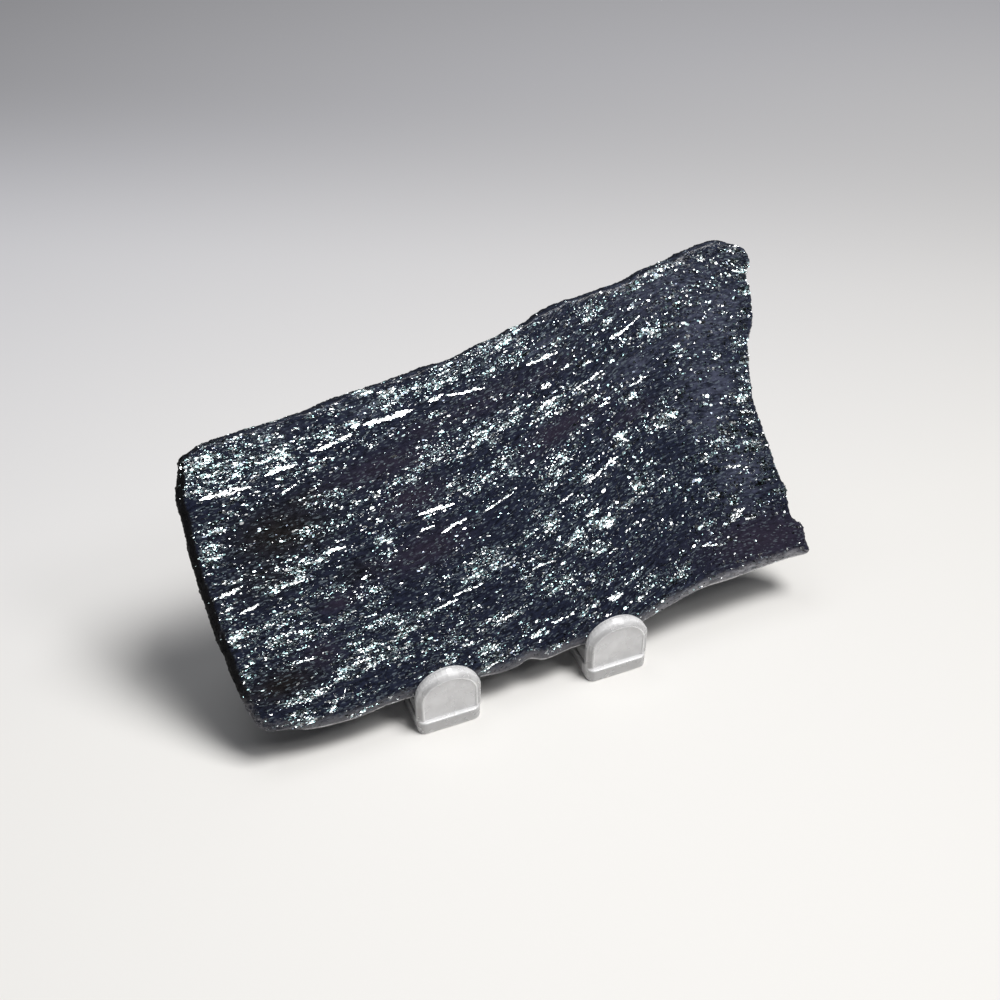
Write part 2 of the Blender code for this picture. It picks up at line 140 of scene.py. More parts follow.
# Places on the face as (s, t, half length, half width, strength), laid along the grain there.
RICH = [
    (-42.0, 43.6, 7.5, 3.0, 1.0), (-33.5, 42.6, 5.5, 2.2, 0.95), (-47.0, 41.2, 1.6, 1.6, 0.9),
    (-34.5, 46.2, 3.5, 0.9, 0.7), (-25.0, 47.6, 3.2, 0.8, 0.75), (-17.3, 49.0, 1.6, 0.6, 0.9),
    (-23.0, 44.2, 3.6, 1.0, 0.6), (-13.5, 47.0, 3.6, 1.7, 0.9), (-5.0, 48.3, 4.2, 1.4, 0.95),
    (1.0, 49.5, 3.5, 1.6, 0.75), (5.5, 51.5, 3.6, 1.2, 0.7), (5.5, 48.2, 5.0, 1.2, 0.85),
    (9.4, 53.3, 2.0, 0.5, 0.9), (9.3, 50.8, 1.2, 0.9, 0.9), (12.8, 51.0, 1.1, 0.4, 1.0),
    (16.0, 49.5, 2.2, 0.5, 0.8), (22.6, 53.4, 3.0, 1.3, 0.95), (21.5, 52.2, 1.4, 0.6, 1.0),
    (25.3, 51.4, 1.6, 0.7, 0.8), (31.3, 55.6, 1.6, 0.8, 1.0), (33.0, 48.6, 2.6, 1.0, 0.9),
    (37.0, 58.2, 2.2, 0.8, 0.7), (48.2, 58.2, 1.6, 0.9, 0.8), (51.0, 55.0, 1.5, 2.6, 0.95),
    (50.4, 50.8, 0.8, 1.0, 0.9), (49.4, 47.0, 1.4, 0.9, 0.95), (43.8, 53.6, 2.4, 0.9, 0.6),
    (41.0, 51.0, 2.0, 0.7, 0.7), (38.0, 51.2, 0.9, 0.5, 0.9), (36.4, 44.1, 1.0, 0.7, 0.9),
    (42.6, 41.3, 1.2, 0.8, 0.8), (47.8, 42.4, 1.6, 2.2, 0.95), (46.4, 38.2, 1.3, 0.6, 0.9),
    (46.8, 34.4, 1.6, 3.0, 0.9), (46.6, 29.8, 1.6, 1.8, 1.0), (47.6, 25.0, 2.0, 1.6, 0.95),
    (43.8, 28.8, 1.6, 1.3, 0.6), (48.4, 19.2, 1.9, 1.3, 0.95), (49.0, 16.2, 1.4, 0.8, 0.7),
    (45.8, 22.2, 2.4, 1.6, 0.45), (40.4, 26.7, 2.6, 1.1, 0.85), (38.6, 28.6, 1.6, 0.8, 0.6),
    (32.2, 33.6, 1.9, 2.0, 1.0), (27.6, 32.6, 1.5, 0.6, 0.8), (23.4, 31.7, 1.8, 1.5, 0.9),
    (26.4, 38.2, 1.3, 0.8, 0.8), (12.4, 39.8, 2.8, 1.3, 0.95), (18.0, 38.8, 2.4, 1.0, 0.6),
    (5.0, 39.2, 3.6, 1.0, 0.6), (5.2, 33.8, 3.0, 0.8, 0.8), (12.8, 31.4, 3.4, 1.2, 0.75),
    (2.6, 32.4, 1.9, 1.5, 0.7), (10.6, 29.2, 1.1, 0.7, 1.0), (15.4, 27.6, 2.2, 1.2, 0.7),
    (8.8, 27.3, 1.3, 0.8, 0.8), (-7.6, 37.5, 3.6, 1.7, 1.0), (-0.6, 38.0, 2.3, 1.9, 0.85),
    (-10.0, 35.8, 3.0, 0.8, 0.8), (-18.0, 42.0, 3.2, 1.1, 0.65), (-6.6, 43.1, 1.7, 0.6, 0.7),
    (-13.2, 34.3, 2.0, 0.8, 0.8), (-25.4, 34.7, 3.4, 1.2, 0.85), (-22.0, 35.6, 1.6, 0.5, 0.8),
    (-29.5, 39.5, 4.2, 1.2, 0.7), (-44.0, 34.0, 2.6, 1.4, 0.75), (-45.8, 30.2, 2.0, 2.4, 0.95),
    (-29.6, 30.6, 2.8, 0.5, 0.9), (-24.0, 30.5, 1.6, 0.5, 0.8), (-3.0, 30.8, 4.0, 1.2, 0.6),
    (-32.0, 25.0, 3.0, 1.1, 0.9), (-19.3, 25.9, 1.3, 0.9, 0.85), (-19.5, 23.2, 1.6, 1.1, 0.85),
    (-46.2, 21.2, 1.6, 2.2, 0.85), (-30.4, 20.3, 2.6, 0.8, 0.85), (-35.2, 23.0, 3.2, 0.8, 0.9),
    (-43.6, 16.8, 2.8, 1.5, 0.95), (-38.6, 18.0, 2.2, 1.1, 0.85), (-35.2, 17.2, 2.0, 1.4, 0.85),
    (-38.4, 14.0, 5.0, 1.6, 0.85), (-23.6, 18.3, 2.8, 0.8, 0.85), (-27.4, 15.6, 2.2, 0.6, 0.9),
    (-22.0, 13.0, 3.2, 1.0, 0.7), (-16.0, 12.4, 2.4, 0.8, 1.0), (-19.0, 11.1, 1.8, 0.9, 1.0),
    (-27.2, 11.8, 1.6, 1.3, 0.95), (-45.0, 11.5, 1.3, 0.9, 0.95), (-38.6, 10.8, 2.2, 0.7, 0.8),
    (-25.2, 8.6, 2.6, 1.7, 0.85), (-30.2, 7.6, 1.7, 1.8, 0.85), (-21.6, 7.8, 2.6, 1.0, 0.8),
    (-11.8, 7.8, 1.4, 1.6, 0.95), (-14.8, 6.4, 1.4, 0.7, 0.9), (-5.0, 16.2, 3.6, 1.4, 0.8),
    (-3.6, 19.0, 2.0, 0.8, 0.8), (-2.8, 8.8, 1.8, 1.3, 0.9), (-6.4, 3.8, 2.0, 2.2, 0.9),
    (-6.8, 1.3, 2.6, 0.6, 1.0), (-12.8, 4.5, 2.2, 0.6, 0.8), (2.2, 13.4, 1.0, 2.0, 1.0),
    (0.0, 6.2, 0.9, 1.6, 0.9), (2.0, 4.1, 1.0, 0.5, 1.0), (-37.2, 5.0, 3.6, 0.8, 0.85),
    (-38.0, 1.9, 2.6, 1.2, 0.95), (-26.4, 2.6, 1.5, 0.8, 0.8), (-33.4, 2.0, 1.0, 0.5, 0.8),
    (-28.0, 0.3, 3.0, 0.4, 0.6), (8.2, 21.4, 2.1, 1.5, 1.0), (3.4, 20.1, 1.8, 0.4, 0.8),
    (13.3, 23.0, 1.2, 0.9, 1.0), (18.0, 18.6, 1.4, 1.0, 1.0), (16.0, 21.2, 1.5, 0.7, 0.9),
    (21.6, 21.0, 1.4, 0.5, 0.8), (25.8, 23.9, 2.0, 0.8, 0.9), (30.8, 24.6, 2.4, 0.6, 0.7),
    (27.0, 26.7, 1.8, 0.6, 0.7), (16.8, 15.2, 2.0, 0.7, 0.8), (13.0, 15.9, 1.8, 0.5, 0.8),
    (8.2, 11.1, 2.2, 0.8, 0.9), (11.0, 17.6, 5.0, 1.8, 0.6), (5.8, 12.4, 3.0, 1.6, 0.6),
    (9.4, 8.9, 1.1, 1.0, 0.95), (16.6, 9.6, 1.3, 0.8, 0.95), (20.2, 8.5, 2.2, 0.7, 1.0),
    (16.7, 6.4, 1.3, 0.9, 1.0), (22.0, 7.0, 1.3, 1.0, 0.9), (12.0, 6.0, 1.7, 0.8, 1.0),
    (12.0, 4.2, 1.5, 0.5, 0.8), (5.4, 1.1, 1.8, 0.6, 0.9), (28.0, 7.4, 5.0, 1.8, 0.75),
    (36.0, 13.9, 1.6, 0.6, 0.9), (41.0, 13.9, 2.2, 0.9, 1.0), (43.8, 12.9, 1.2, 0.5, 1.0),
    (46.6, 14.6, 1.8, 0.5, 0.9), (41.3, 16.6, 0.8, 0.9, 0.9), (38.0, 18.2, 1.0, 2.0, 0.6),
    (36.0, 26.0, 9.0, 8.0, 0.25), (38.0, 52.0, 12.0, 6.0, 0.22),
]
QUIET = [
    (-34.5, 32.4, 6.5, 2.6, 0.75), (-38.5, 28.0, 5.0, 2.0, 0.4), (-20.0, 36.9, 8.0, 1.7, 0.9),
    (-10.0, 41.0, 4.0, 2.2, 0.85), (-15.0, 38.6, 5.0, 1.2, 0.7), (2.6, 43.2, 8.0, 2.0, 0.8),
    (-15.0, 31.0, 4.5, 1.5, 0.6), (-13.5, 22.4, 6.0, 1.7, 0.85), (-3.6, 23.3, 5.0, 2.2, 0.85),
    (-24.5, 24.6, 4.0, 1.2, 0.6), (-3.0, 12.8, 3.6, 2.2, 0.75), (-15.0, 17.6, 5.0, 1.4, 0.6),
    (-39.0, 8.0, 5.5, 1.8, 0.85), (-28.6, 18.0, 2.2, 0.9, 0.8), (-33.6, 11.4, 2.4, 1.4, 0.6),
    (-23.0, 3.6, 5.5, 1.0, 0.6), (46.5, 8.4, 13.0, 3.6, 1.0), (33.0, 28.2, 4.5, 3.2, 0.85),
    (18.6, 24.0, 3.0, 1.9, 0.85), (28.6, 12.0, 5.0, 2.0, 0.85), (34.6, 23.0, 3.0, 2.6, 0.85),
    (27.0, 17.6, 4.6, 2.4, 0.6), (41.0, 46.4, 5.0, 2.6, 0.75), (41.5, 37.0, 4.0, 4.0, 0.8),
    (39.2, 32.0, 3.6, 1.8, 0.85), (46.0, 50.0, 3.6, 1.9, 0.75), (28.6, 43.2, 4.6, 1.7, 0.85),
    (14.0, 36.2, 7.0, 1.8, 0.8), (4.5, 3.0, 3.6, 0.9, 0.9), (14.0, 45.6, 7.0, 1.1, 0.6),
    (36.0, 54.4, 6.0, 1.7, 0.55), (20.0, 56.2, 8.0, 0.8, 0.6), (-48.4, 33.0, 0.9, 7.0, 0.95),
    (-47.6, 16.0, 1.1, 7.0, 0.9), (40.5, 21.0, 1.8, 2.0, 0.7), (20.0, 34.8, 5.0, 1.6, 0.6),
    (-27.0, 49.2, 8.0, 0.6, 0.5), (24.0, 2.4, 6.0, 0.8, 0.8),
]
# The brightest streaks as (s and t of one end, s and t of the other, width).
STREAKS = [
    (-45.1, 39.0, -37.8, 39.1, 0.85), (-34.8, 40.2, -30.0, 40.7, 0.6), (-27.0, 42.0, -23.0, 42.4, 0.5),
    (-22.5, 42.8, -20.6, 43.2, 0.55), (-18.2, 44.1, -14.4, 44.3, 0.6), (-14.8, 44.1, -10.6, 44.6, 0.8),
    (-7.2, 45.3, -5.0, 45.7, 0.6), (-3.8, 45.4, 2.0, 45.3, 0.35), (-33.0, 37.0, -30.6, 37.6, 0.15),
    (-20.2, 44.2, -19.0, 44.3, 0.5), (-12.6, 28.3, -7.2, 28.5, 0.55), (10.0, 47.2, 15.2, 48.1, 0.45),
    (25.0, 48.2, 27.2, 48.9, 0.7), (27.2, 48.9, 30.6, 50.6, 0.3), (17.1, 41.5, 22.3, 43.4, 0.35),
    (11.6, 43.0, 13.3, 43.4, 0.55), (19.9, 45.4, 20.8, 45.5, 0.5), (26.8, 40.0, 30.2, 40.8, 0.35),
    (20.6, 37.9, 22.6, 38.1, 0.4), (11.0, 40.3, 13.6, 40.9, 0.5), (-47.0, 23.6, -42.4, 24.5, 0.5),
    (-46.6, 21.4, -44.6, 21.7, 0.35), (-43.4, 20.6, -40.8, 21.1, 0.4), (-29.2, 26.2, -25.6, 26.4, 0.5),
    (-36.4, 22.8, -33.2, 23.0, 0.35), (-13.2, 25.6, -11.0, 25.9, 0.35), (-10.0, 24.5, -5.6, 25.7, 0.4),
    (-2.0, 26.1, 2.6, 27.6, 0.3), (-24.0, 20.8, -22.6, 21.0, 0.4), (-13.1, 12.8, -10.0, 13.4, 0.4),
    (-10.0, 14.1, -5.2, 14.7, 0.35), (-36.8, 10.6, -34.0, 10.7, 0.3), (-28.6, 7.9, -26.0, 8.2, 0.4),
    (-4.0, 8.1, -1.6, 8.3, 0.5), (15.7, 26.2, 18.6, 27.3, 0.7), (18.6, 27.6, 22.2, 29.2, 0.35),
    (10.4, 24.1, 13.0, 25.0, 0.35), (17.4, 18.4, 19.0, 18.9, 1.1), (15.7, 6.1, 17.9, 6.6, 1.2),
    (20.7, 16.5, 21.7, 16.9, 0.4), (22.4, 17.4, 23.4, 17.6, 0.4), (34.0, 10.5, 38.0, 9.8, 0.45),
    (39.8, 13.1, 42.8, 14.8, 0.8), (43.0, 12.9, 44.6, 12.9, 0.8), (41.0, 22.6, 43.8, 22.2, 0.5),
    (46.6, 25.7, 49.6, 25.2, 0.3), (45.8, 31.2, 47.2, 30.8, 0.6), (46.2, 29.6, 47.6, 28.8, 0.8),
    (3.6, 14.8, 7.4, 15.2, 0.25), (5.0, 5.2, 9.0, 5.6, 0.2), (1.2, 3.8, 3.0, 4.3, 0.45),
    (31.0, 34.4, 33.6, 33.0, 0.5), (22.9, 32.4, 24.2, 31.4, 0.6), (-8.6, 1.2, -5.6, 1.4, 0.5),
]
# Patches of the ground's own colour, placed as RICH is, and of its painted reflection.
BROWN = [
    (-35.0, 31.0, 8.0, 4.5, 1.0), (-40.0, 8.0, 6.0, 2.6, 1.0), (-38.0, 25.0, 6.0, 3.5, 0.6),
    (-24.0, 22.0, 4.0, 2.0, 0.6), (-30.0, 35.0, 5.0, 1.6, 0.8),
]
MAROON = [
    (-17.0, 37.2, 9.0, 2.2, 0.8), (-13.5, 31.0, 5.0, 2.0, 1.0), (-13.0, 22.5, 7.0, 2.6, 0.9),
    (-28.5, 18.0, 3.0, 1.2, 0.9), (-33.0, 11.0, 3.0, 2.0, 0.7), (13.0, 35.8, 7.0, 2.0, 0.9),
    (46.0, 8.8, 12.0, 4.2, 1.0), (1.0, 43.0, 8.0, 2.0, 0.5), (26.0, 35.4, 4.0, 1.4, 0.6),
    (-9.5, 41.0, 4.0, 1.8, 0.6), (12.0, 45.0, 8.0, 1.2, 0.4),
]
# Painted reflection: grey-blue patches where the face shows a faint sheen of light, painted into its colour.
PAINTED_SHEEN_PATCHES = [
    (42.0, 46.0, 6.0, 4.0, 0.9), (28.5, 43.0, 5.0, 2.0, 0.7), (41.0, 37.0, 5.0, 4.5, 0.9),
    (39.5, 31.0, 4.0, 2.4, 0.8), (44.0, 21.0, 4.0, 5.0, 0.9), (36.0, 54.0, 9.0, 3.0, 0.6),
    (46.0, 50.0, 4.0, 2.4, 0.8), (13.0, 49.5, 3.0, 1.0, 0.6), (-18.0, 46.0, 3.0, 1.0, 0.5),
    (-32.0, 46.0, 3.0, 0.9, 0.4),
]
# A thin scratch and, in four stretches, a fibre on the face, as the two ends of each stretch.
HAIRLINES = [
    (20.7, 26.6, 20.9, 21.6), (-32.7, 4.4, -32.2, 3.2), (-32.2, 3.2, -31.4, 2.9), (-31.4, 2.9, -31.0, 3.8),
    (-31.0, 3.8, -30.6, 4.7),
]
HAIRLINE_HALF_WIDTH = 0.05
# Share of the flakes kept on the back, on the broken rim and on the bevel.
BACK_SHARE = 0.6
RIM_SHARE = 0.45
BEVEL_SHARE = 0.8
SEED = 5
# Ten triangles to a flake keep each piece under two hundred thousand.
MOST_FLAKES = 19500
# The flake pieces: how many places are tried, the share kept where the stone is richest, the richness below
# which there are none, the cell of stone in millimetres along and across the grain that holds one flake, the
# mean half length, the tints, the corners and the height above the surface.
FLAKES = {
    "front_flakes": (380000, 1.0, 0.0, (0.28, 0.19), 0.135, "bright", 6, 0.03),
    "front_glitter": (90000, 0.9, 0.0, (0.22, 0.16), 0.085, "bright", 5, 0.02),
    "front_crowds": (700000, 1.0, 0.35, (0.22, 0.15), 0.125, "teal", 6, 0.025),
    "back_flakes": (110000, 0.8, 0.0, (0.50, 0.34), 0.17, "dim", 6, 0.02),
}
# Where along the slab the flakes grow rounder and less aligned, in millimetres.
ROUNDER_FROM_TO = (0.0, 30.0)
# Share of the flakes that lie outside the small clumps.
LOOSE = 0.2
# Depth in millimetres of the cell that holds one flake.
CELL_DEPTH = 1.0
# The flakes' lengths: their spread, their size outside the clumps and how much larger they are in one.
LENGTH_SPREAD = 0.35
LOOSE_LENGTH = 0.72
CLUMP_LENGTH = 0.75
# Their widths as shares of the length and the spread of their turns in radians, and how much more of each
# there is where they are rounder.
WIDTH_SHARE = (0.28, 0.5)
ROUNDER_WIDTH = 0.6
TURN_SPREAD = 0.16
ROUNDER_TURN = 2.5
# How far a flake's corners are turned, in steps from one to the next, and how far they reach.
CORNER_SHIFT = 0.3
CORNER_REACH = (0.7, 1.15)
# Share of its sheen's lean that a flake's top really tips, the steepest slope it may have, and the depth of
# its root as a share of its half width.
TIP_SHARE = 0.25
STEEPEST = 0.12
ROOT_DEPTH = 0.5
# A flake's two ovals in its square of the bake map, as (height of the middle, half the height).
OVAL_HALF_WIDTH = 0.46
TOP_OVAL = (0.66, 0.3)
ROOT_OVAL = (0.17, 0.14)
# The flakes of a streak: the fewest, the stone's area in square millimetres for each, where along it they
# lie, its waves as (reach in millimetres, pace), and the spread across it and of the flakes' measures.
STREAK_FEWEST = 4
STREAK_AREA = 0.032
STREAK_ENDS = (-0.03, 1.03)
STREAK_WANDER = ((0.06, 1.6), (0.03, 4.0))
STREAK_SPREAD = 0.52
STREAK_LENGTHS = (0.12, 0.34)
STREAK_WIDTHS = (0.06, 0.13)
STREAK_TURN = 0.2
STREAK_LEAN = 0.07


def to_slab(points):
    """Slab coordinates in millimetres of points in the row frame."""
    return (np.asarray(points) / MM - FACE_ORIGIN) @ SLAB_AXES.T


def from_slab(places):
    return (np.asarray(places) @ SLAB_AXES + FACE_ORIGIN) * MM


def grain_rise(s):
    return np.radians(np.interp(s, GRAIN_AT, GRAIN_RISE))


def grain_height(s):
    """How far the layer that passes through s = 0 has risen at s."""
    steps = np.arange(-GRAIN_REACH, GRAIN_REACH, GRAIN_STEP)
    climb = np.cumsum(np.tan(grain_rise(steps))) * GRAIN_STEP
    return np.interp(s, steps, climb - np.interp(0.0, steps, climb))


def grain_coordinates(slab_places):
    """s, height above the layer through the origin, and depth."""
    s, t, n = slab_places.T
    return np.column_stack([s, t - grain_height(s), n])


def spots(s, t, places):
    """The strongest of the soft ellipses at each (s, t)."""
    level = np.zeros_like(s)
    for place_s, place_t, half_length, half_width, strength in places:
        rise = float(grain_rise(place_s))
        along = (s - place_s) * math.cos(rise) + (t - place_t) * math.sin(rise)
        across = (t - place_t) * math.cos(rise) - (s - place_s) * math.sin(rise)
        distance = (along / half_length) ** 2 + (across / half_width) ** 2
        level = np.maximum(level, strength * np.exp(-distance))
    return level


def lattice(i, j, seed):
    """A repeatable random number from 0 to 1 for each whole (i, j)."""
    mixed = np.sin(i * 127.1 + j * 311.7 + seed * 74.7) * 43758.5453
    return mixed - np.floor(mixed)


def smooth_noise(x, y, seed):
    """A number from 0 to 1 that changes smoothly from each whole (x, y) to the next."""
    i, j = np.floor(x), np.floor(y)
    u, v = x - i, y - j
    u, v = u * u * (3 - 2 * u), v * v * (3 - 2 * v)
    low = lattice(i, j, seed) * (1 - u) + lattice(i + 1, j, seed) * u
    high = lattice(i, j + 1, seed) * (1 - u) + lattice(i + 1, j + 1, seed) * u
    return low * (1 - v) + high * v


def grain_noise(grain, kind, shift=0.0, lift=0.0):
    """Smooth noise laid along the grain, in cells of its kind, moved by parts of a cell."""
    length, height, seed = kind
    return smooth_noise(grain[:, 0] / length + shift, grain[:, 1] / height + lift, seed)


def ramp(value, low, high):
    """How far the value is on its way from low to high, from 0 to 1."""
    return np.clip((value - low) / (high - low), 0.0, 1.0)


def richness(slab_places):
    """How thickly the flakes lie, from 0 to 1. Through the stone it follows the layers."""
    s, t, n = slab_places.T
    grain = grain_coordinates(slab_places)
    bands = grain_noise(grain, BANDS, lift=n / 2.0)
    knots = grain_noise(grain, KNOTS, shift=n)
    plain = PLAIN_LEAST + PLAIN_GAIN * ramp(BANDS_SHARE * bands + KNOTS_SHARE * knots, *PLAIN_RAMP)
    return np.clip(plain + RICH_GAIN * spots(s, t, RICH), 0, 1) * (1 - spots(s, t, QUIET))


def clumps(slab_places):
    """Small lumps and fine rows along the grain in which the flakes crowd, from 0 to 1."""
    grain = grain_coordinates(slab_places)
    rows = grain_noise(grain, ROWS, lift=grain[:, 2])
    lumps = grain_noise(grain, LUMPS, shift=grain[:, 2])
    return ramp(rows, *ROWS_RAMP) * ramp(lumps, *LUMPS_RAMP)


def colour_attribute(mesh, name, values):
    layer = mesh.attributes.new(name, "FLOAT_COLOR", "POINT")
    layer.data.foreach_set("color", np.asarray(values, np.float32).ravel())


def vector_attribute(mesh, name, values):
    layer = mesh.attributes.new(name, "FLOAT_VECTOR", "POINT")
    layer.data.foreach_set("vector", np.asarray(values, np.float32).ravel())


def read(mesh, field, width=3):
    values = np.empty(len(mesh.vertices) * width)
    mesh.vertices.foreach_get(field, values)
    return values.reshape(-1, width)


def placed(name, data):
    """A new object in the scene."""
    obj = bpy.data.objects.new(name, data)
    bpy.context.scene.collection.objects.link(obj)
    return obj


def link(name, mesh, material):
    obj = placed(name, mesh)
    mesh.materials.append(material)
    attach(obj, "root")
    return obj


def refined(node, levels):
    """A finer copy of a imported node's mesh, rounded by subdivision."""
    welded = bmesh.new()
    welded.from_mesh(node.data)
    bmesh.ops.remove_doubles(welded, verts=welded.verts, dist=1e-7)
    rough = bpy.data.meshes.new("rough")
    welded.to_mesh(rough)
    welded.free()
    holder = placed("holder", rough)
    finer = holder.modifiers.new("finer", "SUBSURF")
    finer.levels = levels
    finer.render_levels = levels
    graph = bpy.context.evaluated_depsgraph_get()
    mesh = bpy.data.meshes.new_from_object(holder.evaluated_get(graph))
    bpy.data.objects.remove(holder)
    bpy.data.meshes.remove(rough)
    return mesh


def in_front(normals):
    """Which normals look out of the front, those of the bevel and the rounded edges too."""
    return normals @ INTO < -0.2


def polish_of(places, normals):
    """1 on the polished face and its ground bottom bevel, 0 on the broken rim and the sawn back."""
    front = ramp(-(normals @ INTO), 0.90, 0.98)
    below = BEVEL_TOP - places[:, 1] + BEVEL_SLANT * places[:, 0]
    bevel = ramp(below, 0.0, BEVEL_FADE) * ramp(-(normals @ INTO), -0.1, 0.2)
    return np.maximum(front, bevel)


def trim_of(places, normals):
    """The ground bevel along the bottom, which carries a painted reflection, a pale line along its lower
    arris, and the left end, painted near-black as shade over the stone's own dark colour.
    """
    front = ramp(-(normals @ INTO), -0.1, 0.1)
    down = -(normals @ UP)
    left = ramp(-(normals @ ALONG), 0.15, 0.35) * ramp(-places[:, 0], 40.0, 42.0)
    low = ramp(places[:, 1], 9.0, 6.0)
    bevel = np.maximum(front * ramp(down, 0.12, 0.4), left * low * ramp(-(normals @ ALONG), 0.6, 0.8))
    arris = front * ramp(down, 0.76, 0.88)
    # Painted shade: the left end above its low corner, made near-black over the stone's dark colour.
    dark_and_shaded_left = left * (1 - low)
    return bevel, arris, dark_and_shaded_left


def fracture(point):
    """Depth of the broken rim's relief at a slab place, from 0 to about 1."""
    coarse = noise.noise(Vector(point) * 0.75)
    fine = noise.noise(Vector(point) * Vector((2.3, 3.4, 2.4)))
    ledge = abs(noise.noise(Vector((point[0] * 0.4, point[1] * 2.2, point[2] * 1.2))))
    return 0.5 + 0.3 * coarse + 0.45 * fine - 0.45 * ledge


def carve_slab(mesh):
    """Lowers the surface a little: chips along the rim, saw marks behind and faint waves in front."""
    points = read(mesh, "co")
    normals = read(mesh, "normal")
    places = to_slab(points)
    polish = polish_of(places, normals)
    facing_back = ramp(normals @ INTO, 0.6, 0.9)
    rim = (1 - polish) * (1 - facing_back)
    relief = np.array([fracture(place) for place in grain_coordinates(places)])
    saw = 0.5 + 0.5 * np.sin(2 * np.pi * (SAW_SLANT * places[:, 0] + places[:, 1]) / SAW_PITCH)
    chips = rim * CHIP_DEPTH * np.clip(relief, 0, 1)
    marks = facing_back * (SAW_DEPTH * saw + BACK_DEPTH * relief)
    dip = chips + marks + polish * FRONT_DEPTH * relief
    moved = points - normals * (dip * MM)[:, None]
    mesh.vertices.foreach_set("co", moved.ravel())
    mesh.update()


def paint_slab(mesh):
    """Stores the grain's coordinates, the ground's colours and the kind of surface at each vertex.

    Returns how polished each vertex is.
    """
    places = to_slab(read(mesh, "co"))
    normals = read(mesh, "normal")
    s, t = places[:, 0], places[:, 1]
    one = np.ones_like(s)
    polish = polish_of(places, normals)
    bevel, arris, dark_and_shaded_left = trim_of(places, normals)
    outward = ramp(normals @ INTO, -0.5, 0.0)
    # The third channel is the painted grey-blue reflection.
    patches = [spots(s, t, BROWN), spots(s, t, MAROON), spots(s, t, PAINTED_SHEEN_PATCHES), one]
    vector_attribute(mesh, "grain", grain_coordinates(places))
    colour_attribute(mesh, "patches", np.column_stack(patches))
    colour_attribute(mesh, "kind", np.column_stack([polish, richness(places), outward, one]))
    # The trim holds the bevel's painted reflection, the pale arris line and the left end's painted shade.
    colour_attribute(mesh, "trim", np.column_stack([bevel, arris, dark_and_shaded_left, one]))
    return np.minimum(polish, 1 - dark_and_shaded_left)


def surface_samples(mesh, count, rng):
    """Points spread evenly over the mesh by area, with their normals."""
    mesh.calc_loop_triangles()
    corners = np.empty(len(mesh.loop_triangles) * 3, np.int32)
    mesh.loop_triangles.foreach_get("vertices", corners)
    triangles = read(mesh, "co")[corners.reshape(-1, 3)]
    crosses = np.cross(triangles[:, 1] - triangles[:, 0], triangles[:, 2] - triangles[:, 0])
    areas = np.linalg.norm(crosses, axis=1)
    chosen = rng.choice(len(areas), count, p=areas / areas.sum())
    u, v = rng.random(count), rng.random(count)
    flipped = u + v > 1
    u, v = np.where(flipped, 1 - u, u)[:, None], np.where(flipped, 1 - v, v)[:, None]
    a, b, c = triangles[chosen].transpose(1, 0, 2)
    return a + (b - a) * u + (c - a) * v, crosses[chosen] / areas[chosen][:, None]


def spaced(places, cell_length, cell_height):
    """Which places to keep so that each cell of the stone, laid along the grain, holds one."""
    grain = grain_coordinates(places)
    cells = np.floor(grain / (cell_length, cell_height, CELL_DEPTH)).astype(np.int64)
    _, first = np.unique(cells, axis=0, return_index=True)
    kept = np.zeros(len(places), bool)
    kept[first] = True
    return kept


def root_sides(corners):
    """The triangles from the edges of a flake's top down to its root, as numbers of its vertices."""
    return np.array([[(k + 1) % corners, k, corners] for k in range(corners)])


def flake_vertices(points, normals, sizes, turns, leans, angle, reach, lift):
    """The corners of each flake's tipped top, and after them the end of its root."""
    heading = np.cos(turns)[:, None] * ALONG + np.sin(turns)[:, None] * UP
    heading -= normals * np.sum(heading * normals, axis=1)[:, None]
    heading /= np.linalg.norm(heading, axis=1)[:, None]
    side = np.cross(normals, heading)
    x = np.cos(angle) * reach * sizes[:, :1] * MM
    y = np.sin(angle) * reach * sizes[:, 1:] * MM
    slope_x = np.clip(np.sum(leans * heading, axis=1)[:, None] * TIP_SHARE, -STEEPEST, STEEPEST)
    slope_y = np.clip(np.sum(leans * side, axis=1)[:, None] * TIP_SHARE, -STEEPEST, STEEPEST)
    height = lift * MM - x * slope_x - y * slope_y
    rim = points[:, None] + x[..., None] * heading[:, None] + y[..., None] * side[:, None]
    rim += height[..., None] * normals[:, None]
    root = points - normals * (ROOT_DEPTH * sizes[:, 1:] * MM)
    return np.concatenate([rim, root[:, None]], axis=1).reshape(-1, 3)


def flake_polygons(name, verts, count, corners):
    """A mesh with the polygon of each flake's top and the triangles round each root."""
    starts = (np.arange(count) * (corners + 1))[:, None]
    top_loops = (starts + np.arange(corners)).ravel()
    side_loops = (starts[:, None] + root_sides(corners)[None]).ravel()
    mesh = bpy.data.meshes.new(name)
    mesh.vertices.add(len(verts))
    mesh.vertices.foreach_set("co", verts.ravel())
    mesh.loops.add(len(top_loops) + len(side_loops))
    mesh.loops.foreach_set("vertex_index", np.concatenate([top_loops, side_loops]).astype(np.int32))
    top_starts = np.arange(count) * corners
    side_starts = count * corners + np.arange(count * corners) * 3
    mesh.polygons.add(count * (corners + 1))
    mesh.polygons.foreach_set("loop_start", np.concatenate([top_starts, side_starts]).astype(np.int32))
    mesh.update(calc_edges=True)
    mesh.validate()
    mesh.shade_flat()
    return mesh


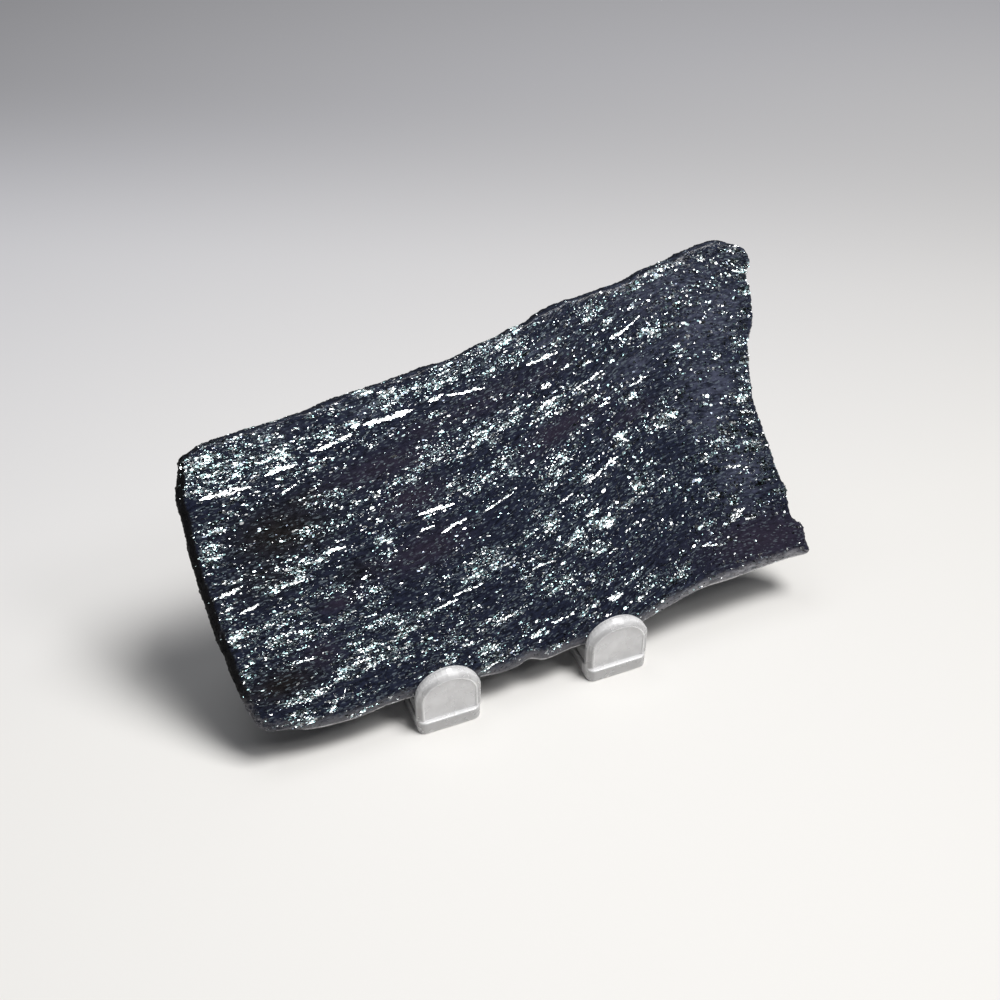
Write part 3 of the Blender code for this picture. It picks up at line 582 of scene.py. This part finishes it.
def flake_mesh(name, points, normals, sizes, turns, leans, tints, corners, lift):
    """Thin flakes let into the surface, each a flat irregular top over a shallow buried root.

    Sizes are half lengths and half widths in millimetres, turns are angles from s in the face's plane,
    leans are how far each flake's sheen tips from the surface normal, as a vector.
    """
    count = len(points)
    rng = np.random.default_rng(count)
    shift = rng.uniform(-CORNER_SHIFT, CORNER_SHIFT, (count, corners))
    angle = (np.arange(corners) + shift) * 2 * np.pi / corners
    reach = rng.uniform(*CORNER_REACH, (count, corners))
    verts = flake_vertices(points, normals, sizes, turns, leans, angle, reach, lift)
    mesh = flake_polygons(name, verts, count, corners)
    each = corners + 1
    vector_attribute(mesh, "lean", np.repeat(leans, each, axis=0))
    colour_attribute(mesh, "tint", np.repeat(np.column_stack([tints, np.ones(count)]), each, axis=0))
    own_bake_map(mesh, count, corners, angle)
    return mesh


def oval(angle, middle, half_height):
    """Places round an ellipse in a flake's square of the bake map."""
    return np.stack([0.5 + OVAL_HALF_WIDTH * np.cos(angle), middle + half_height * np.sin(angle)], -1)


def own_bake_map(mesh, count, corners, angle):
    """A UV map with one square for each flake: its top above, its root below."""
    across = math.ceil(math.sqrt(count))
    index = np.arange(count)
    cell = np.column_stack([index % across, index // across])[:, None]
    top = oval(angle, *TOP_OVAL)
    middle = np.broadcast_to([0.5, ROOT_OVAL[0]], (count, 1, 2))
    under = np.concatenate([oval(angle, *ROOT_OVAL), middle], axis=1)
    order = root_sides(corners).ravel()
    loops = np.concatenate([(cell + top).reshape(-1, 2), (cell + under[:, order]).reshape(-1, 2)]) / across
    layer = mesh.uv_layers.new(name="OFBake")
    layer.data.foreach_set("uv", loops.astype(np.float32).ravel())


# Tints of the flakes and how common each is.
TINTS = np.array([(0.93, 0.96, 0.97), (0.70, 0.88, 0.90), (0.42, 0.66, 0.68), (0.38, 0.44, 0.56)])
TINT_SHARES = {
    "bright": (0.45, 0.35, 0.12, 0.08),
    "teal": (0.2, 0.4, 0.3, 0.1),
    "dim": (0.1, 0.3, 0.3, 0.3),
    "streak": (0.8, 0.2, 0.0, 0.0),
}
# How strongly the brightest of them reflect, and the dullest as a share of that.
SHEEN = {"bright": (0.64, 0.05), "teal": (0.78, 0.055), "dim": (1.0, 0.02), "streak": (0.9, 0.3)}
# The flakes mostly tip up and to the right, so they flash together, as one cleavage does. Each also has a
# lean of its own and one that it shares with its neighbours.
COMMON_LEAN = 0.30 * UP + 0.06 * ALONG
LEAN_SPREAD = 0.08
LEAN_DRIFT = 0.24


def leans_at(slab_places, normals, rng):
    """How each flake's sheen tips from the surface's normal.

    Neighbours tip alike, each with a little of its own, and in front they keep the flat face's direction
    where the surface rounds away.
    """
    grain = grain_coordinates(slab_places)
    own = rng.normal(0, LEAN_SPREAD, (len(grain), 2))
    up = LEAN_DRIFT * (grain_noise(grain, UP_DRIFT) - 0.5) + own[:, 0]
    along = LEAN_DRIFT * (grain_noise(grain, ALONG_DRIFT) - 0.5) + own[:, 1]
    flat = np.where(in_front(normals)[:, None], -INTO - normals, 0.0)
    return flat + COMMON_LEAN + up[:, None] * UP + along[:, None] * ALONG


def pick_tints(count, shares, rng):
    """Colours of the flakes, spread evenly in stops from the dullest up to the brightest."""
    tints = TINTS[rng.choice(len(TINTS), count, p=TINT_SHARES[shares])]
    brightest, dullest = SHEEN[shares]
    return tints * brightest * dullest ** rng.random((count, 1))


def scatter_flakes(name, surface, where):
    """A joined mesh of flakes spread over the surface by the stone's richness."""
    tries, share, least, cell, half_length, shares, corners, lift = FLAKES[name]
    rng = np.random.default_rng(SEED + list(FLAKES).index(name))
    points, normals = surface_samples(surface, tries, rng)
    here = rng.random(tries) < share * where(normals)
    points, normals = points[here], normals[here]
    places = to_slab(points)
    chance = ramp(richness(places), least, 1.0) * (LOOSE + (1 - LOOSE) * clumps(places))
    taken = rng.random(len(places)) < chance
    points, normals, places = points[taken], normals[taken], places[taken]
    clear = spaced(places, *cell)
    points, normals, places = (values[clear][:MOST_FLAKES] for values in (points, normals, places))
    count = len(points)
    rounder = ramp(places[:, 0], *ROUNDER_FROM_TO)
    length = half_length * np.exp(rng.normal(0, LENGTH_SPREAD, count))
    length *= LOOSE_LENGTH + CLUMP_LENGTH * clumps(places)
    width = length * rng.uniform(*WIDTH_SHARE, count) * (1 + ROUNDER_WIDTH * rounder)
    turns = grain_rise(places[:, 0]) + rng.normal(0, TURN_SPREAD, count) * (1 + ROUNDER_TURN * rounder)
    leans = leans_at(places, normals, rng)
    tints = pick_tints(count, shares, rng)
    sizes = np.column_stack([length, width])
    return flake_mesh(name, points, normals, sizes, turns, leans, tints, corners, lift)


def streak_flakes(rng):
    """Places, sizes and turns of the crowded flakes that make up the long bright streaks."""
    places, sizes, turns = [], [], []
    for start_s, start_t, end_s, end_t, width in STREAKS:
        length = math.hypot(end_s - start_s, end_t - start_t)
        turn = math.atan2(end_t - start_t, end_s - start_s)
        bends = rng.uniform(0, 2 * math.pi, 2)
        for _ in range(max(STREAK_FEWEST, round(length * width / STREAK_AREA))):
            u = rng.uniform(*STREAK_ENDS)
            taper = (1 - abs(2 * u - 1) ** 3) * width * 0.5
            wander = sum(
                reach * math.sin(length * u * pace + bend)
                for (reach, pace), bend in zip(STREAK_WANDER, bends)
            )
            off = wander + rng.normal(0, STREAK_SPREAD) * taper
            s = start_s + (end_s - start_s) * u - math.sin(turn) * off
            t = start_t + (end_t - start_t) * u + math.cos(turn) * off
            places.append((s, t))
            sizes.append((rng.uniform(*STREAK_LENGTHS), rng.uniform(*STREAK_WIDTHS)))
            turns.append(turn + rng.normal(0, STREAK_TURN))
    return places, sizes, turns


def hairlines():
    """Places, sizes and turns of the scratch and the fibre, each stretch of them one long sliver."""
    places, sizes, turns = [], [], []
    for start_s, start_t, end_s, end_t in HAIRLINES:
        places.append(((start_s + end_s) / 2, (start_t + end_t) / 2))
        sizes.append((math.hypot(end_s - start_s, end_t - start_t) / 2, HAIRLINE_HALF_WIDTH))
        turns.append(math.atan2(end_t - start_t, end_s - start_s))
    return places, sizes, turns


def build_streaks(surface, material):
    rng = np.random.default_rng(SEED)
    places, sizes, turns = (a + b for a, b in zip(streak_flakes(rng), hairlines()))
    points, normals = on_front(surface, places)
    count = len(points)
    leans = COMMON_LEAN + rng.normal(0, STREAK_LEAN, (count, 1)) * ALONG
    leans = leans + rng.normal(0, STREAK_LEAN, (count, 1)) * UP
    tints = pick_tints(count, "streak", rng)
    mesh = flake_mesh(
        "bright_streaks", points, normals, np.array(sizes), np.array(turns), leans, tints,
        corners=6, lift=0.03,
    )
    link("bright_streaks", mesh, material)


def on_front(surface, places):
    """Where lines into the stone from in front of it at (s, t) meet its surface, and the normals there.

    A line that misses it ends a millimetre behind the face.
    """
    tree = bmesh.new()
    tree.from_mesh(surface)
    finder = BVHTree.FromBMesh(tree)
    points, normals = [], []
    for s, t in places:
        start = Vector(from_slab((s, t, -5.0)))
        point, normal, _, _ = finder.ray_cast(start, Vector(INTO))
        if point is None:
            point, normal = Vector(from_slab((s, t, 1.0))), Vector(-INTO)
        points.append(tuple(point))
        normals.append(tuple(normal))
    tree.free()
    return np.array(points), np.array(normals)


def fill(tree, node, inputs):
    """Sets or links a node's inputs, by name or number."""
    for name, value in inputs.items():
        if isinstance(value, bpy.types.NodeSocket):
            tree.links.new(value, node.inputs[name])
        else:
            node.inputs[name].default_value = value


def add(tree, kind, inputs=None, **settings):
    """A new shader node with its settings and inputs."""
    made = tree.nodes.new(kind)
    for name, value in settings.items():
        setattr(made, name, value)
    fill(tree, made, inputs or {})
    return made


def mix(tree, factor, low, high):
    """A value between two others."""
    return add(tree, "ShaderNodeMix", {0: factor, 2: low, 3: high}).outputs[0]


def colour_mix(tree, factor, low, high, blend="MIX"):
    """A colour between two others, each a socket or plain red, green and blue."""
    low, high = (c if isinstance(c, bpy.types.NodeSocket) else (*c, 1.0) for c in (low, high))
    ends = {0: factor, 6: low, 7: high}
    return add(tree, "ShaderNodeMix", ends, data_type="RGBA", blend_type=blend).outputs[2]


def shaded(tree, colour, level):
    """The colour times the level."""
    grey = add(tree, "ShaderNodeCombineColor", {0: level, 1: level, 2: level}).outputs[0]
    return colour_mix(tree, 1.0, colour, grey, "MULTIPLY")


def channels(tree, name):
    """The three channels of a colour stored on the mesh."""
    colour = add(tree, "ShaderNodeAttribute", attribute_name=name).outputs["Color"]
    return add(tree, "ShaderNodeSeparateColor", {0: colour}).outputs


def maths(tree, operation, a, b=0.0, c=0.0):
    return add(tree, "ShaderNodeMath", {0: a, 1: b, 2: c}, operation=operation).outputs[0]


def vectors(tree, operation, a, b):
    return add(tree, "ShaderNodeVectorMath", {0: a, 1: b}, operation=operation).outputs[0]


def tipped(tree, normal, lean):
    """The normal tipped by the lean, with length 1."""
    leaning = vectors(tree, "ADD", normal, lean)
    return add(tree, "ShaderNodeVectorMath", {0: leaning}, operation="NORMALIZE").outputs[0]


def bumped(tree, strength, distance, height):
    """The surface's normal, made uneven by the height."""
    inputs = {"Strength": strength, "Distance": distance, "Height": height}
    return add(tree, "ShaderNodeBump", inputs).outputs[0]


def between(tree, value, low, high, out_low=0.0, out_high=1.0, kind="LINEAR"):
    """A ramp that goes from out_low to out_high while the value goes from low to high, and no further."""
    ends = {"Value": value, "From Min": low, "From Max": high, "To Min": out_low, "To Max": out_high}
    return add(tree, "ShaderNodeMapRange", ends, interpolation_type=kind).outputs["Result"]


def noise_at(tree, vector, scale, detail=2.0, roughness=0.5):
    inputs = {"Vector": vector, "Scale": scale, "Detail": detail, "Roughness": roughness}
    return add(tree, "ShaderNodeTexNoise", inputs).outputs["Fac"]


def new_material(name):
    material = bpy.data.materials.new(name)
    material.use_nodes = True
    tree = material.node_tree
    return material, tree, tree.nodes["Principled BSDF"]


# Tones of the floor, painted darker to the right and away as shade, as (at the origin, change to each metre
# right, change to each metre away), where the near one turns into the darker far one, and the tint of each.
NEAR_SHADED_TONE = (0.755, -0.80, -0.68)
FAR_SHADED_TONE = (0.475, 0.25)
TURN_SLANT = 0.5
TURN_FROM, TURN_TO = 0.12, 0.24
WARM_PAPER = (1.0, 0.985, 0.958)
COOL_PAPER = (0.958, 0.955, 1.0)

# Colours of the ground and its patches, its painted grey-blue reflection, its glitter and the broken rim.
NAVY = (0.0092, 0.0115, 0.0225)
BROWN_BLACK = (0.0095, 0.0083, 0.0082)
MAROON_BLACK = (0.0225, 0.0185, 0.0320)
PAINTED_SHEEN_GREY = (0.058, 0.064, 0.098)
STEEL = (0.065, 0.076, 0.102)
SPARK = (0.34, 0.42, 0.48)
BROKEN = (0.009, 0.009, 0.011)
# Colours of the ground bevel's painted reflection and its paler ends, a pale line on its arris, and the left
# end painted near-black: the stone's dark colour with painted shade.
BEVEL_REFLECTION_GREY = (0.105, 0.102, 0.120)
PALE_BEVEL_REFLECTION = (0.34, 0.335, 0.36)
PALE_ARRIS = (0.85, 0.85, 0.88)
LEFT_END_DARK_AND_SHADED = (0.004, 0.004, 0.005)
PLASTIC = (0.95, 0.948, 0.955)
# How much finer the ground's layers are than they are long: its noises are stretched along the grain.
LAYERING = (0.4, 1.0, 1.0)


def patched(tree, layered, brown, maroon, painted_sheen):
    """The layers' own colour with its patches and its painted grey-blue reflection, in darker and paler
    streaks that fade in maroon and in the painted reflection.
    """
    colour = colour_mix(tree, brown, NAVY, BROWN_BLACK)
    colour = colour_mix(tree, maroon, colour, MAROON_BLACK)
    wisps = noise_at(tree, layered, 0.9, 5.0, 0.7)
    # Painted reflection: the grey-blue sheen, broken into wisps.
    painted_sheen = maths(tree, "MULTIPLY", painted_sheen, between(tree, wisps, 0.38, 0.62, 0.15, 1.0))
    colour = colour_mix(tree, painted_sheen, colour, PAINTED_SHEEN_GREY)
    streaks = noise_at(tree, layered, 1.8, 4.0, 0.65)
    depth = between(tree, streaks, 0.32, 0.72, 0.3, 2.5)
    plainness = maths(tree, "MULTIPLY", maths(tree, "MAXIMUM", maroon, painted_sheen), 0.75)
    return shaded(tree, colour, mix(tree, plainness, depth, 1.0))


def spark_level(tree, lot, rich, polish, dark_and_shaded_left):
    """Which cells of the stone glitter: more where it is rich and polished, none on the left end painted
    near-black as shade.
    """
    spark = between(tree, lot, 0.84, 0.98)
    spark = maths(tree, "MULTIPLY", spark, between(tree, rich, 0.0, 0.8, 0.25, 1.0))
    spark = maths(tree, "MULTIPLY", spark, between(tree, polish, 0.0, 1.0, 0.35, 1.0))
    return maths(tree, "MULTIPLY", spark, maths(tree, "SUBTRACT", 1.0, dark_and_shaded_left))


def trimmed(tree, colour, along, blotch, bevel, arris, dark_and_shaded_left):
    """The colour under the ground bevel, painted as a reflection of the floor and paler at its ends, a pale
    line on its arris, and the left end painted near-black as shade.
    """
    # Painted reflection: the bevel greyed as if it mirrored the floor, paler at its ends.
    ends = maths(tree, "MAXIMUM", between(tree, along, 15.0, 40.0), between(tree, along, -42.0, -45.0))
    colour = colour_mix(tree, bevel, colour, colour_mix(tree, ends, BEVEL_REFLECTION_GREY, PALE_BEVEL_REFLECTION))
    # A pale line along the lower arris, in patches.
    arris = maths(tree, "MULTIPLY", arris, between(tree, blotch, 0.40, 0.50))
    colour = colour_mix(tree, arris, colour, PALE_ARRIS)
    # Painted shade: the left end made near-black over the stone's dark colour.
    return colour_mix(tree, dark_and_shaded_left, colour, LEFT_END_DARK_AND_SHADED)


def ground_material(name, gloss):
    """The stone between the flakes: near-black layers with a fine blue-grey glitter of its own."""
    material, tree, shader = new_material(name)
    grain = add(tree, "ShaderNodeAttribute", attribute_name="grain").outputs["Vector"]
    along = add(tree, "ShaderNodeSeparateXYZ", {0: grain}).outputs[0]
    layered = vectors(tree, "MULTIPLY", grain, LAYERING)
    brown, maroon, painted_sheen = channels(tree, "patches")
    polish, rich, outward = channels(tree, "kind")
    bevel, arris, dark_and_shaded_left = channels(tree, "trim")
    blotch = noise_at(tree, layered, 0.35, 3.0)
    # Breaks up the bevel's painted reflection and its roughness.
    bevel_unevenness = noise_at(tree, layered, 1.3, 5.0, 0.7)
    bevel = maths(tree, "MULTIPLY", bevel, between(tree, bevel_unevenness, 0.42, 0.6, 0.2, 1.0))
    cells = add(tree, "ShaderNodeTexVoronoi", {"Vector": layered, "Scale": 5.5, "Randomness": 1.0})
    lot = add(tree, "ShaderNodeSeparateColor", {0: cells.outputs["Color"]}).outputs[0]
    spark = spark_level(tree, lot, rich, polish, dark_and_shaded_left)

    colour = patched(tree, layered, brown, maroon, painted_sheen)
    grit = between(tree, noise_at(tree, layered, 7.0, 3.0, 0.6), 0.54, 0.78)
    grit = maths(tree, "MULTIPLY", grit, between(tree, rich, 0.0, 1.0, 0.15, 1.0))
    colour = colour_mix(tree, grit, colour, STEEL)
    colour = colour_mix(tree, spark, colour, SPARK)
    colour = colour_mix(tree, maths(tree, "MULTIPLY", outward, 0.55), colour, BROKEN)
    colour = trimmed(tree, colour, along, blotch, bevel, arris, dark_and_shaded_left)
    smear = between(tree, blotch, 0.3, 0.7, 0.14, 0.24)
    rough = mix(tree, bevel, mix(tree, polish, 0.6, smear), 0.55)

    tip = vectors(tree, "SUBTRACT", cells.outputs["Color"], (0.5, 0.5, 0.5))
    tip = add(tree, "ShaderNodeVectorMath", {0: tip, "Scale": 0.16}, operation="SCALE").outputs[0]
    relief = noise_at(tree, layered, 3.0, 5.0, 0.7)
    uneven = bumped(tree, between(tree, polish, 0.0, 1.0, 1.0, 0.12), 0.00025, relief)
    metal = maths(tree, "MULTIPLY", spark, 0.9)
    fill(tree, shader, {"Base Color": colour, "Metallic": metal, "Roughness": rough})
    fill(tree, shader, {"Normal": tipped(tree, uneven, tip), "Specular IOR Level": gloss, "IOR": 1.55})
    return material


def flake_material():
    """Metallic faces of the flakes, each tipped its own way."""
    material, tree, shader = new_material("hematite_flake")
    tint = add(tree, "ShaderNodeAttribute", attribute_name="tint").outputs["Color"]
    where = add(tree, "ShaderNodeTexCoord").outputs["Object"]
    mottle = noise_at(tree, where, 7000.0, 2.0)
    shade = between(tree, mottle, 0.3, 0.65, 0.55, 1.0)
    rough = between(tree, mottle, 0.3, 0.7, 0.14, 0.25)
    fill(tree, shader, {"Base Color": shaded(tree, tint, shade), "Metallic": 1.0, "Roughness": rough})
    lean = add(tree, "ShaderNodeAttribute", attribute_name="lean").outputs["Vector"]
    face = add(tree, "ShaderNodeNewGeometry").outputs["Normal"]
    fill(tree, shader, {"Normal": tipped(tree, face, lean)})
    return material


def peak(tree, value, middle, reach):
    """1 where the value is the middle, falling to 0 at the reach on either side."""
    off = maths(tree, "ABSOLUTE", maths(tree, "SUBTRACT", value, middle))
    return between(tree, off, 0.0, reach, 1.0, 0.0)


def lip_pattern(tree, where):
    """How far a place is from a lip's middle, how high it is and whether it is in the frosted part.

    The first is a share of the lip's outline, the second in millimetres, and the third from 0 to 1.
    """
    x, y, z = add(tree, "ShaderNodeSeparateXYZ", {0: where}).outputs
    along = maths(tree, "MULTIPLY_ADD", x, 1 / MM, -LIP_MIDDLE)
    beside = maths(tree, "SUBTRACT", maths(tree, "ABSOLUTE", along), LIP_SPACING / 2)
    height = maths(tree, "MULTIPLY", z, 1 / MM)
    over = maths(tree, "MAXIMUM", maths(tree, "SUBTRACT", height, LIP_SHOULDER), 0.0)
    beside = maths(tree, "DIVIDE", beside, LIP_HALF_WIDTH)
    over = maths(tree, "DIVIDE", over, LIP_TOP - LIP_SHOULDER)
    squares = maths(tree, "MULTIPLY_ADD", beside, beside, maths(tree, "MULTIPLY", over, over))
    front = between(tree, y, LIP_BACK * MM, (LIP_BACK - LIP_FADE) * MM)
    return maths(tree, "SQRT", squares), height, front


def painted_highlights(tree, out, height, above):
    """Painted highlights: white lines along the bead, the ledge, the outline and the sole of the easel's
    lips.
    """
    bead = maths(tree, "MULTIPLY", peak(tree, out, BEAD, BEAD_REACH), above)
    outline = maths(tree, "MULTIPLY", peak(tree, out, 1.0, OUTLINE_REACH), OUTLINE_HIGHLIGHT)
    lines = maths(tree, "MAXIMUM", bead, peak(tree, height, LEDGE, LEDGE_REACH))
    lines = maths(tree, "MAXIMUM", lines, outline)
    return maths(tree, "MAXIMUM", lines, peak(tree, height, SOLE, SOLE_REACH))


def plastic_material():
    """Clear moulded plastic: frosted lips with painted highlights, white along their bead and ledges, and
    clear elsewhere.
    """
    material, tree, shader = new_material("clear_plastic")
    where = add(tree, "ShaderNodeTexCoord").outputs["Object"]
    out, height, front = lip_pattern(tree, where)
    above = between(tree, height, LEDGE - FOOT_FADE, LEDGE)
    below = between(tree, height, LEDGE, LEDGE - FOOT_FADE)
    face = maths(tree, "MULTIPLY", between(tree, out, BEAD - FACE_FADE, BEAD, 1.0, 0.0), above)
    cloud = noise_at(tree, where, 350.0, 3.0)
    frost = between(tree, cloud, 0.3, 0.7, *FROST_CLEARNESS)
    frost = maths(tree, "MULTIPLY_ADD", face, -FACE_WHITENESS, frost)
    frost = mix(tree, below, frost, FOOT_CLEARNESS)
    # Painted highlights: the lines along the bead, ledge, outline and sole are made opaque white.
    frost = mix(tree, painted_highlights(tree, out, height, above), frost, 0.0)
    clearness = mix(tree, front, BODY_CLEARNESS, frost)
    rough = mix(tree, front, BODY_ROUGHNESS, between(tree, cloud, 0.3, 0.7, *FROST_ROUGHNESS))
    uneven = bumped(tree, 0.2, 0.0001, noise_at(tree, where, 900.0, 2.0))
    fill(tree, shader, {"Base Color": (*PLASTIC, 1.0), "IOR": 1.49, "Normal": uneven})
    fill(tree, shader, {"Transmission Weight": clearness, "Roughness": rough})
    return material


def build_slab(node, polished, broken):
    mesh = refined(node, 2)
    carve_slab(mesh)
    polish = paint_slab(mesh)
    mesh.materials.clear()
    mesh.name = "polished_slab"
    slab = link("polished_slab", mesh, polished)
    mesh.materials.append(broken)
    for polygon in mesh.polygons:
        polygon.use_smooth = True
        polygon.material_index = int(np.mean(polish[list(polygon.vertices)]) < 0.5)
    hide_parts("hematite_slab")
    return slab


def facing_front(normals):
    """All over the polished face, thinly on the bevel below it and not on the dark left end."""
    front = np.where(in_front(normals), 1.0, 0.0)
    bevel = np.where(normals @ UP < -0.25, BEVEL_SHARE, 1.0)
    return front * bevel * np.where(normals @ ALONG < -0.25, 0.0, 1.0)


def facing_away(normals):
    """The back, and more thinly the broken rim."""
    return np.where(normals @ INTO > 0.6, BACK_SHARE, np.where(in_front(normals), 0.0, RIM_SHARE))


def build_flakes(surface, material):
    for name in FLAKES:
        mesh = scatter_flakes(name, surface, facing_away if name == "back_flakes" else facing_front)
        link(name, mesh, material)
    build_streaks(surface, material)


def floor_material():
    """Pale paper with painted shade: darker behind the object and to its right."""
    material, tree, shader = new_material("pale_paper")
    where = add(tree, "ShaderNodeTexCoord").outputs["Object"]
    across, away, _ = add(tree, "ShaderNodeSeparateXYZ", {0: where}).outputs
    near_here, near_right, near_away = NEAR_SHADED_TONE
    far_here, far_right = FAR_SHADED_TONE
    near = maths(tree, "MULTIPLY_ADD", maths(tree, "MAXIMUM", away, 0.0), near_away, near_here)
    near = maths(tree, "MULTIPLY_ADD", across, near_right, near)
    far = maths(tree, "MULTIPLY_ADD", across, far_right, far_here)
    turn = maths(tree, "MULTIPLY_ADD", across, TURN_SLANT, away)
    turn = between(tree, turn, TURN_FROM, TURN_TO, kind="SMOOTHSTEP")
    tint = colour_mix(tree, between(tree, away, 0.0, 0.2), WARM_PAPER, COOL_PAPER)
    colour = shaded(tree, tint, mix(tree, turn, near, far))
    fibre = bumped(tree, 0.05, 0.0001, noise_at(tree, where, 1500.0, 3.0))
    fill(tree, shader, {"Base Color": colour, "Roughness": 0.85, "Normal": fibre})
    return material


def build_floor():
    corners = [(-1, -1), (1, -1), (1, 1), (-1, 1)]
    mesh = bpy.data.meshes.new("floor")
    mesh.from_pydata([(x * FLOOR_REACH, y * FLOOR_REACH, 0) for x, y in corners], [], [(0, 1, 2, 3)])
    mesh.materials.append(floor_material())
    floor = placed("floor", mesh)


def build_lights():
    """Square lamps that look at the object, and faint light from all round."""
    for name, (place, size, power, colour) in LAMPS.items():
        lamp = bpy.data.lights.new(name, "AREA")
        lamp.shape = "SQUARE"
        lamp.size = size
        lamp.energy = power
        lamp.color = colour
        obj = placed(name, lamp)
        obj.location = place
        obj.rotation_euler = Vector(place).to_track_quat("Z", "Y").to_euler()
    world = bpy.data.worlds.new("studio")
    bpy.context.scene.world = world
    world.use_nodes = True
    world.node_tree.nodes["Background"].inputs[0].default_value = (*SURROUNDINGS, 1.0)


def build_camera():
    camera = bpy.data.cameras.new("camera")
    camera.lens = CAMERA_LENS
    camera.clip_start, camera.clip_end = CAMERA_CLIP
    obj = placed("camera", camera)
    obj.location = CAMERA_PLACE
    obj.rotation_euler = CAMERA_TURN
    bpy.context.scene.camera = obj


polished = ground_material("specular_hematite", gloss=0.5)
broken = ground_material("broken_hematite", gloss=0.1)
slab = build_slab(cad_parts["hematite_slab"], polished, broken)
build_flakes(slab.data, flake_material())
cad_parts["display_easel"].data.materials[0] = plastic_material()
build_floor()
build_lights()
build_camera()
bpy.context.scene.view_settings.view_transform = "Standard"
